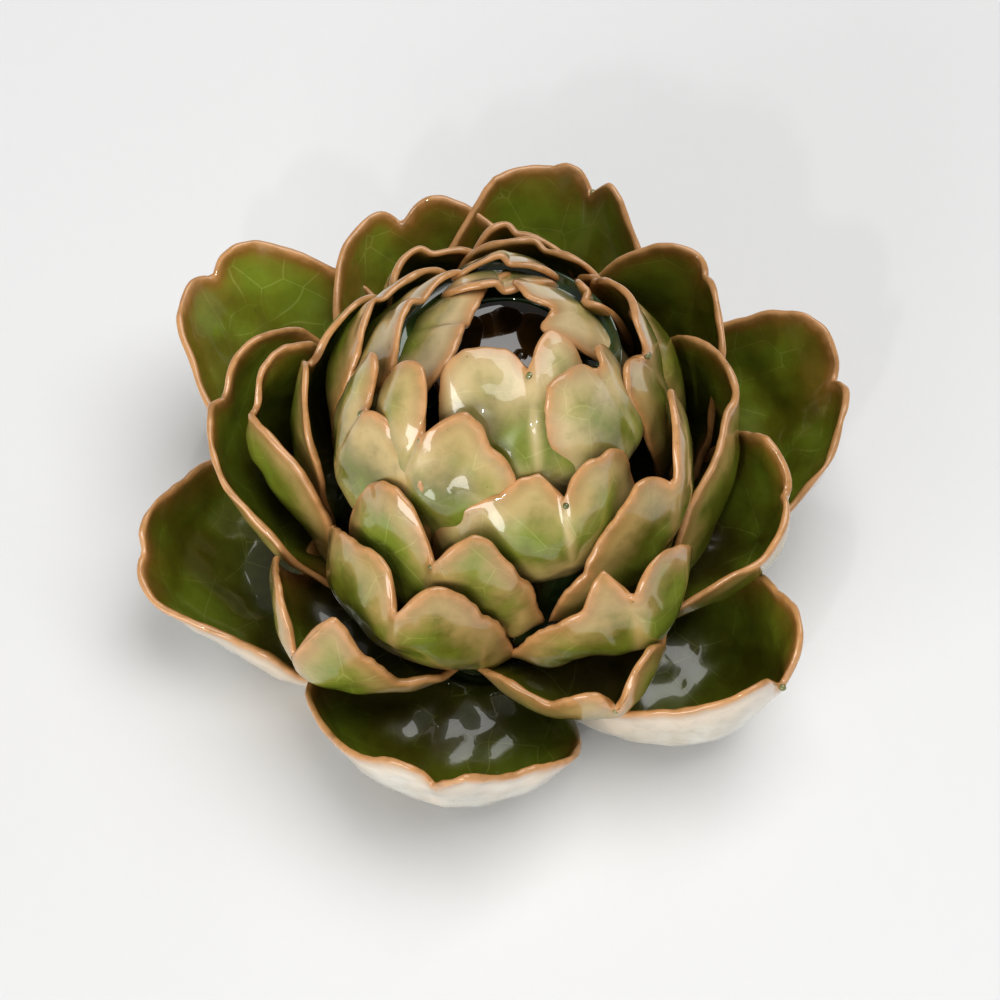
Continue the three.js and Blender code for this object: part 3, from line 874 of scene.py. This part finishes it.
@dataclass
class Rosette:
    """All the bracts, each with the glaze of its ring.

    Attributes:
        glazes: the glaze of each material slot.
    """

    glazes: dict[str, BractGlaze] = field(
        default_factory=lambda: {
            "outer_glaze": BractGlaze(
                "outer_green",
                # depth sets how much painted shade darkens the cups towards the root
                depth=0.7,
                # outer ring: the near-white outer face is pale glaze with a painted reflection of
                # the white floor
                outside=(0.52, 0.46, 0.36),
                outside_fresh=(0.70, 0.70, 0.64),
                khaki=(0.72, 0.60, 0.46),
            ),
            "lower_glaze": BractGlaze("lower_green"),
            "middle_glaze": BractGlaze("middle_green"),
            "upper_glaze": BractGlaze("upper_green", khaki=(0.56, 0.41, 0.18), thin=6.0),
            "inner_glaze": BractGlaze(
                "inner_green",
                # the inner ring gets lighter painted shade towards the root
                depth=0.5,
                deep=(0.090, 0.050, 0.010),
                khaki=(0.66, 0.50, 0.27),
                thin=7.0,
            ),
        }
    )

    def bracts(self) -> list[Bract]:
        """The bracts' own sizes, ring by ring, counter-clockwise from +X."""
        return [
            Bract(
                "outer_bract_1", OUTER, 22, (20.5, 17), far=0.5, high=1.5, tilt=3, tear=3.5,
                tear_at=-0.03, tear_wide=0.2, crest=((-0.25, 2.5), (0, 0.5), (0.3, 2)),
            ),
            Bract(
                "outer_bract_2", OUTER, 82, (17.5, 15.5), far=-0.5, high=5.5, lift=2, tear=4.5,
                tear_at=-0.2, tear_wide=0.22, crest=((-0.45, 3.5), (-0.3, 5), (0, 0.5), (0.3, 2)),
            ),
            Bract(
                "outer_bract_3", OUTER, 108, (16.5, 16.5), far=-3.5, high=2, lift=3, tear=3.5,
                tear_at=0.03, tear_wide=0.2, crest=((-0.2, 2), (0.1, 1), (0.3, 0.5)),
            ),
            Bract(
                "outer_bract_4", OUTER, 141, (17, 19), far=5.3, high=3, tilt=-1, tear=2.5,
                tear_at=-0.01, tear_wide=0.18, crest=((-0.3, 1.5), (0, 0.5), (0.3, 1)),
            ),
            Bract(
                "outer_bract_5", OUTER, 192, (20, 21), far=2, high=-4, belly=12, hugs=(3, 17),
                tilt=-4, tear=3, tear_at=-0.08, tear_wide=0.3, turns=(100, 92), end_up=-3.5,
                end_out=7.5, crest=((-0.35, -0.5), (-0.12, 1), (0.1, -2.5), (0.45, -2), (0.65, -3)),
            ),
            Bract(
                "outer_bract_6", OUTER, 256.5, (22, 20), far=-1.7, high=-3.5, belly=10.5,
                hugs=(3, 3), tear=3.5, tear_at=0.05, tear_wide=0.2, turns=(95, 95), end_up=1.5,
                end_out=18.5, crest=((-0.5, -2), (-0.15, 0.5), (0.2, 3), (0.35, 1)),
            ),
            Bract(
                "outer_bract_7", OUTER, 319, (19, 14.5), far=-1, high=-3, belly=10, hugs=(3, 5),
                tilt=3, tear=5, tear_at=0.05, tear_wide=0.3, turns=(95, 105), end_out=4.5,
                crest=((-0.15, 3), (0.25, 3)),
            ),
            Bract(
                "lower_bract_1", LOWER, 3, (21, 18), far=-6.5, high=5, belly=4, hugs=(7, 7), tilt=4,
                tear=1, tear_wide=0.2,
            ),
            Bract(
                "lower_bract_2", LOWER, 42, (17.5, 16), high=5.5, tear=2.5, tear_at=-0.02,
                tear_wide=0.15,
            ),
            Bract(
                "lower_bract_3", LOWER, 88, (11, 9), far=-9, high=3, lift=5, tear=0,
                crest=((-0.2, 1),),
            ),
            Bract(
                "lower_bract_4", LOWER, 168, (16, 22), far=4, high=-2.5, hugs=(2, -2), tilt=-4,
                tear=2.5, tear_at=0.02, tear_wide=0.18, crest=((-0.3, 2), (0.2, 1)),
            ),
            Bract(
                "lower_bract_5", LOWER, 174, (13, 15), far=-2.5, high=3.5, hugs=(6, 12), tilt=-3,
                tear=3.5, tear_at=0.08, tear_wide=0.25, crest=((-0.5, 2), (0.2, 1.5)),
            ),
            Bract(
                "lower_bract_6", LOWER, 226, (18, 16), far=3, high=-7.5, belly=9, tear=7,
                tear_at=-0.02, tear_wide=0.3,
                crest=((-0.8, -6), (-0.5, -1), (-0.1, 2), (0.15, 3.5), (0.35, -1), (0.6, -4)),
            ),
            Bract(
                "lower_bract_7", LOWER, 293, (16, 14), far=1, high=-8.5, belly=8.5, tilt=4, tear=5,
                tear_at=-0.02, tear_wide=0.2,
                crest=((-0.6, -1.5), (-0.4, -3.5), (-0.2, -2), (0, 0), (0.3, -1), (0.6, -5)),
            ),
            Bract(
                "lower_bract_8", LOWER, 345, (16, 13), far=4, high=-6, hugs=(3, 3), tilt=4,
                tear=3.5, tear_at=0.17, tear_wide=0.25, crest=((0, 1), (0.4, 4)),
            ),
            Bract("middle_bract_1", MIDDLE, 32, (11.5, 15), far=-6.5, high=5.5, tear=0),
            Bract("middle_bract_2", MIDDLE, 78, (14, 14), far=-3, high=4, tear=0),
            Bract("middle_bract_3", MIDDLE, 115, (11, 11), tear=0, crest=((-0.4, 1), (0.4, 0.5))),
            Bract("middle_bract_4", MIDDLE, 146, (16, 13), far=-6, high=2, lift=4, tear=0),
            Bract(
                "middle_bract_5", MIDDLE, 164, (16, 16), far=1, hugs=(6, 1), tilt=-1, tear=4,
                tear_at=0.02, tear_wide=0.25, crest=((-0.3, 2), (0.4, -1)),
            ),
            Bract(
                "middle_bract_6", MIDDLE, 241, (17, 15), far=4.5, lift=-7, belly=6, tear=6,
                tear_at=0.06, tear_wide=0.3,
                crest=((-0.3, 0), (-0.05, 2), (0.2, 1), (0.4, -0.5), (0.6, -2)),
            ),
            Bract(
                "middle_bract_7", MIDDLE, 248, (15.5, 15.5), far=-2, high=0.5, tilt=-3, tear=7,
                tear_at=0.02, tear_wide=0.38, crest=((-0.4, 1), (0.2, 1.5), (0.4, -1.5), (0.6, -3)),
            ),
            Bract(
                "middle_bract_8", MIDDLE, 305, (16, 15), far=6.5, high=1, lift=-7, belly=6, tear=5,
                tear_at=-0.1, tear_wide=0.25,
                crest=((-0.6, -4), (-0.4, -3.5), (-0.2, 3), (0.15, 1), (0.4, -2), (0.6, -4)),
            ),
            Bract(
                "middle_bract_9", MIDDLE, 319.5, (16, 17), far=-2, high=2, tilt=5, tear=6.5,
                tear_at=0.15, tear_wide=0.3,
                crest=((-0.6, -4.5), (-0.3, -2.5), (-0.05, 0.5), (0.5, 3)),
            ),
            Bract(
                "upper_bract_1", UPPER, 14, (13, 16), far=0.5, high=2, belly=3, hugs=(6, 8), tilt=1,
                tear=4, tear_at=-0.25, tear_wide=0.25,
                crest=((-0.6, 2), (0, 0), (0.3, -2), (0.6, -2.5)),
            ),
            Bract(
                "upper_bract_2", UPPER, 38, (5, 5), far=-3, high=-3, lift=5, belly=1, hugs=(0, 0),
                tear=1, across=49,
            ),
            Bract("upper_bract_3", UPPER, 90, (9.5, 9.5), far=-2.5, high=-3.5, lift=5, tear=0),
            Bract("upper_bract_4", UPPER, 148, (12, 12), far=-3, high=-4, lift=5, tear=0),
            Bract(
                "upper_bract_5", UPPER, 205, (11, 15), far=2, high=-1, hugs=(6, 3), tilt=-4, tear=4,
                tear_at=-0.04, tear_wide=0.3, crest=((-0.45, 1.5), (-0.15, 1.5), (0.2, 0.5)),
            ),
            Bract(
                "upper_bract_6", UPPER, 233, (11.5, 14.5), far=-2, high=1, lift=2, hugs=(10, 10),
                tilt=-4, tear=7, tear_at=-0.02, tear_wide=0.35,
                crest=((-0.35, 2), (0.15, 3), (0.4, -1), (0.6, -1.5)),
            ),
            Bract(
                "upper_bract_7", UPPER, 290, (17.5, 13.5), far=2, high=-4.5, tilt=4, tear=5,
                tear_at=0.03, tear_wide=0.3,
                crest=((-0.55, -1.5), (-0.3, -1), (-0.07, 2), (0.3, -1), (0.6, -1)),
            ),
            Bract(
                "inner_bract_1", INNER, 30, (7, 11), far=-1.5, high=-2, belly=5, tear=2.5,
                tear_at=0.05, tear_wide=0.25, crest=((0.5, 1),),
            ),
            Bract(
                "inner_bract_2", INNER, 95, (9, 9), far=1.5, high=-1.5, tear=0,
                crest=((-0.3, -0.5), (0.2, 0.5)),
            ),
            Bract(
                "inner_bract_3", INNER, 163, (16.5, 12), far=-1, high=-2, belly=5, hugs=(7, 5),
                tilt=1, tear=0, crest=((-0.7, 2), (-0.4, -0.5), (0.1, 0.5)),
            ),
            Bract(
                "inner_bract_4", INNER, 280, (12, 12), far=-3.5, high=0.5, belly=6, tear=4,
                tear_at=0.12, tear_wide=0.3, crest=((-0.6, 1), (-0.1, 0), (0.3, 1.5), (0.6, 1.5)),
            ),
            Bract(
                "inner_bract_5", INNER, 328, (10, 8.5), far=5.5, high=-0.5, belly=5, tilt=-2,
                tear_at=0.15, tear_wide=0.25, crest=((-0.4, 1), (0.1, 0.5)),
            ),
        ]

    def build(self) -> None:
        """Builds every bract and reports it."""
        materials = {slot: glaze.material() for slot, glaze in self.glazes.items()}
        for bract in self.bracts():
            piece = bract.build(materials[bract.ring.slot])
            log.info("%s: %d faces", piece.name, len(piece.data.polygons))


# ---------------------------------------------------------------- the pooled glaze
def disc(steps: int) -> np.ndarray:
    """A round grid without a pole.

    The square's point (a, b) goes to (a sqrt(1 - b^2/2), b sqrt(1 - a^2/2)).

    Args:
        steps: points along each side of the square.

    Returns:
        Positions on the unit disc, of shape (steps, steps, 2).
    """
    line = np.linspace(-1.0, 1.0, steps)
    a, b = np.meshgrid(line, line, indexing="ij")
    return np.stack([a * np.sqrt(1.0 - b**2 / 2.0), b * np.sqrt(1.0 - a**2 / 2.0)], axis=-1)


@dataclass
class Pools:
    """The glaze that has run together: in the bud, round it, and as beads in the tears.

    Attributes:
        level: height of the pool in the bud.
        width: its radius.
        bubble: radius of the bubble in it.
        bubble_at: where the bubble lies, along X and Y.
        climb: how far the glaze climbs the wall round the pool.
        ring_level: height of the glaze in the channel round the bud.
        ring_radii: inner and outer radius of the channel.
        ring_turn: where the channel starts and ends, in degrees.
        bead: radius of a bead.
        deep_tear: the least depth of a tear that holds a bead.
    """

    level: float = 52.6
    width: float = 11.3
    bubble: float = 0.7
    bubble_at: tuple[float, float] = (2.4, 2.0)
    climb: float = 1.4
    ring_level: float = 54.5
    ring_radii: tuple[float, float] = (10.5, 17.0)
    ring_turn: tuple[float, float] = (-25.0, 205.0)
    bead: float = 0.55
    deep_tear: float = 4.0

    def dress(self, piece: bpy.types.Object, glaze: bpy.types.Material) -> None:
        """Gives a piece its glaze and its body."""
        piece.data.materials.append(glaze)
        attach(piece, "root")
        log.info("%s: %d faces", piece.name, len(piece.data.polygons))

    def bud(self) -> bpy.types.Object:
        """The pool in the bud: a lens whose skin climbs its wall by r^8, with one round bubble.

        Returns:
            The object.
        """
        steps = 65
        grid = disc(steps)
        spread = np.linalg.norm(grid, axis=-1)
        near = np.linalg.norm(grid * self.width - np.array(self.bubble_at), axis=-1) / self.bubble
        dome = np.sqrt(np.clip(1.0 - near**2, 0.0, None)) * self.bubble * 0.8
        top = self.level + 0.1 * grid[..., 1] * self.width + self.climb * spread**8 + dome
        bottom = self.level + self.climb - 3.0 * np.sqrt(np.clip(1.0 - spread**2, 0.0, None))
        xy = grid * self.width
        upper = np.concatenate([xy, top[..., None]], axis=-1).reshape(-1, 3)
        lower = np.concatenate([xy, bottom[..., None]], axis=-1).reshape(-1, 3)
        faces, kept = pillow_faces(steps, steps)
        points = np.concatenate([upper, lower[kept]])
        return new_piece("bud_pool", points, outward(points, faces).tolist(), {})

    def channel(self) -> bpy.types.Object:
        """The glaze round the bud: a sector of a ring whose skin climbs both of its walls.

        With s from -1 to 1 across the channel, the skin stands at the level plus s^4, and dips to
        its ends.

        Returns:
            The object.
        """
        start, end = self.ring_turn
        turn = np.radians(np.linspace(start, end, 181))[:, None]
        s = np.linspace(-1.0, 1.0, 25)[None, :]
        inner, outer = self.ring_radii
        radius = (inner + outer) / 2.0 + (outer - inner) / 2.0 * s
        fade = 30.0
        at = np.degrees(turn)
        ends = smooth(start, start + fade, at) * smooth(end, end - fade, at)
        x, y = radius * np.cos(turn), radius * np.sin(turn)
        ripple = 0.25 * Unevenness(9.0, seed=21).at(np.stack([x, y, 0.0 * x], axis=-1))
        top = self.ring_level + 1.5 * s**4 + ripple - 5.0 * (1.0 - ends)
        bottom = top - 3.5 * np.sqrt(1.0 - s**2) * np.sqrt(np.clip(ends, 0.0, 1.0))
        upper = np.stack([x, y, np.broadcast_to(top, x.shape)], axis=-1).reshape(-1, 3)
        lower = np.stack([x, y, np.broadcast_to(bottom, x.shape)], axis=-1).reshape(-1, 3)
        faces, kept = pillow_faces(*x.shape)
        points = np.concatenate([upper, lower[kept]])
        return new_piece("channel_pool", points, outward(points, faces).tolist(), {})

    def beads(self, places: np.ndarray) -> bpy.types.Object:
        """Beads of glaze: a small ball at each place, of two half shells z = +-sqrt(1 - r^2).

        Args:
            places: their centres, of shape (n, 3).

        Returns:
            The object.
        """
        steps = 9
        grid = disc(steps)
        height = np.sqrt(np.clip(1.0 - (grid**2).sum(axis=-1), 0.0, None))
        upper = np.concatenate([grid, height[..., None]], axis=-1).reshape(-1, 3)
        faces, kept = pillow_faces(steps, steps)
        ball = np.concatenate([upper, (upper * np.array([1.0, 1.0, -1.0]))[kept]])
        faces = outward(ball, faces)
        size = self.bead * np.random.default_rng(5).uniform(0.7, 1.2, (len(places), 1, 1))
        points = (places[:, None, :] + ball[None, :, :] * size).reshape(-1, 3)
        shift = np.arange(len(places))[:, None, None] * len(ball)
        every = (faces[None, :, :] + shift).reshape(-1, 4)
        return new_piece("glaze_beads", points, every.tolist(), {})

    def build(self, bracts: list[Bract]) -> None:
        """Builds the pools, and a bead at the bottom of each deep tear.

        Args:
            bracts: the bracts that the beads sit in.
        """
        places = np.array([bract.tear_foot() for bract in bracts if bract.tear >= self.deep_tear])
        dark = PoolGlaze("dark_pool", (0.012, 0.006, 0.001), (0.045, 0.022, 0.004))
        green = PoolGlaze("green_pool", (0.008, 0.022, 0.006), (0.035, 0.075, 0.015))
        clear = PoolGlaze("clear_bead", (0.110, 0.120, 0.030), (0.260, 0.250, 0.100))
        self.dress(self.bud(), dark.material())
        self.dress(self.channel(), green.material())
        self.dress(self.beads(places), clear.material())


# ---------------------------------------------------------------- the studio
@dataclass
class Softbox:
    """One rectangular area light.

    Attributes:
        name: the light's name.
        azimuth: where it stands, in degrees counter-clockwise from +X.
        elevation: its height above the horizon, in degrees.
        distance: how far it stands from the piece, in metres.
        size: its width and height, in metres.
        power: its power, in watts.
    """

    name: str
    azimuth: float
    elevation: float
    distance: float
    size: tuple[float, float]
    power: float

    def build(self) -> None:
        """Places the light so that it faces the middle of the piece."""
        lamp = bpy.data.lights.new(self.name, "AREA")
        lamp.shape = "RECTANGLE"
        lamp.size, lamp.size_y = self.size
        lamp.energy = self.power
        light = bpy.data.objects.new(self.name, lamp)
        a, e = math.radians(self.azimuth), math.radians(self.elevation)
        way = Vector((math.cos(a) * math.cos(e), math.sin(a) * math.cos(e), math.sin(e)))
        light.location = way * self.distance
        light.rotation_mode = "QUATERNION"
        light.rotation_quaternion = way.to_track_quat("Z", "Y")
        bpy.context.scene.collection.objects.link(light)


@dataclass
class Studio:
    """The pale floor, the soft lights and the camera.

    Attributes:
        paper: the colour of the floor.
        glow: the strength of the surrounding light.
        elevation: the camera's height above the horizon, in degrees.
        distance: the camera's distance from its target, in metres.
        target: what the camera looks at, in metres.
        lens: the camera's focal length, in millimetres.
        sensor: the width of its sensor, in millimetres.
    """

    paper: Colour = (0.79, 0.79, 0.79)
    glow: float = 0.27
    elevation: float = 55.0
    distance: float = 0.62
    target: tuple[float, float, float] = (-0.0008, 0.0, 0.0185)
    lens: float = 145.1
    sensor: float = 36.0

    def floor(self) -> None:
        """Lays the sheet of paper, a flat square with a faint tooth."""
        count = 9
        steps = np.linspace(-1500.0, 1500.0, count)
        x, y = np.meshgrid(steps, steps, indexing="ij")
        points = np.stack([x, y, np.zeros_like(x)], axis=-1).reshape(-1, 3)
        faces = grid_faces(np.arange(count**2).reshape(count, count))
        piece = new_piece("paper", points, faces.tolist(), {})
        finish = Finish("white_paper", roughness=0.6, coat=0.0)
        tone = finish.grain(Grain.CLOUD, 3.0, detail=4.0)
        darker = tuple(0.985 * part for part in self.paper)
        finish.feed("Base Color", finish.blend(tone, self.paper, darker))
        piece.data.materials.append(finish.material)

    def camera(self) -> None:
        """Makes the camera and points it at the target."""
        e = math.radians(self.elevation)
        back = Vector((0.0, -math.cos(e), math.sin(e)))
        camera = bpy.data.objects.new("camera", bpy.data.cameras.new("camera"))
        camera.data.lens = self.lens
        camera.data.sensor_width = self.sensor
        camera.data.clip_start = 0.01
        camera.location = Vector(self.target) + back * self.distance
        camera.rotation_mode = "QUATERNION"
        camera.rotation_quaternion = back.to_track_quat("Z", "Y")
        bpy.context.scene.collection.objects.link(camera)
        bpy.context.scene.camera = camera

    def lights(self) -> None:
        """Sets the surrounding light, the softboxes and the way that light is shown."""
        world = bpy.data.worlds.new("studio")
        world.use_nodes = True
        sky = world.node_tree.nodes["Background"]
        sky.inputs["Color"].default_value = (1.0, 1.0, 1.0, 1.0)
        sky.inputs["Strength"].default_value = self.glow
        scene = bpy.context.scene
        scene.world = world
        scene.view_settings.view_transform = "Standard"
        scene.view_settings.look = "Medium High Contrast"
        boxes = [
            Softbox("window", 236, 14, 1.2, (0.85, 0.48), 7.6),
            Softbox("overhead", 25, 72, 1.3, (1.2, 1.2), 11.5),
            Softbox("spark", 255, 36, 1.0, (0.03, 0.05), 0.8),
        ]
        for box in boxes:
            box.build()

    def build(self) -> None:
        """Builds the floor, the lights and the camera."""
        self.floor()
        self.lights()
        self.camera()
        log.info("studio: floor, lights and camera")


def main() -> None:
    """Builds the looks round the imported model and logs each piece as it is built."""
    logging.basicConfig(level=logging.INFO, format="%(message)s", stream=sys.stdout)
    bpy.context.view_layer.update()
    Studio().build()
    core = CORE.build()
    log.info("%s: %d faces", core.name, len(core.data.polygons))
    rosette = Rosette()
    rosette.build()
    Pools().build(rosette.bracts())


if __name__ == "__main__":
    main()
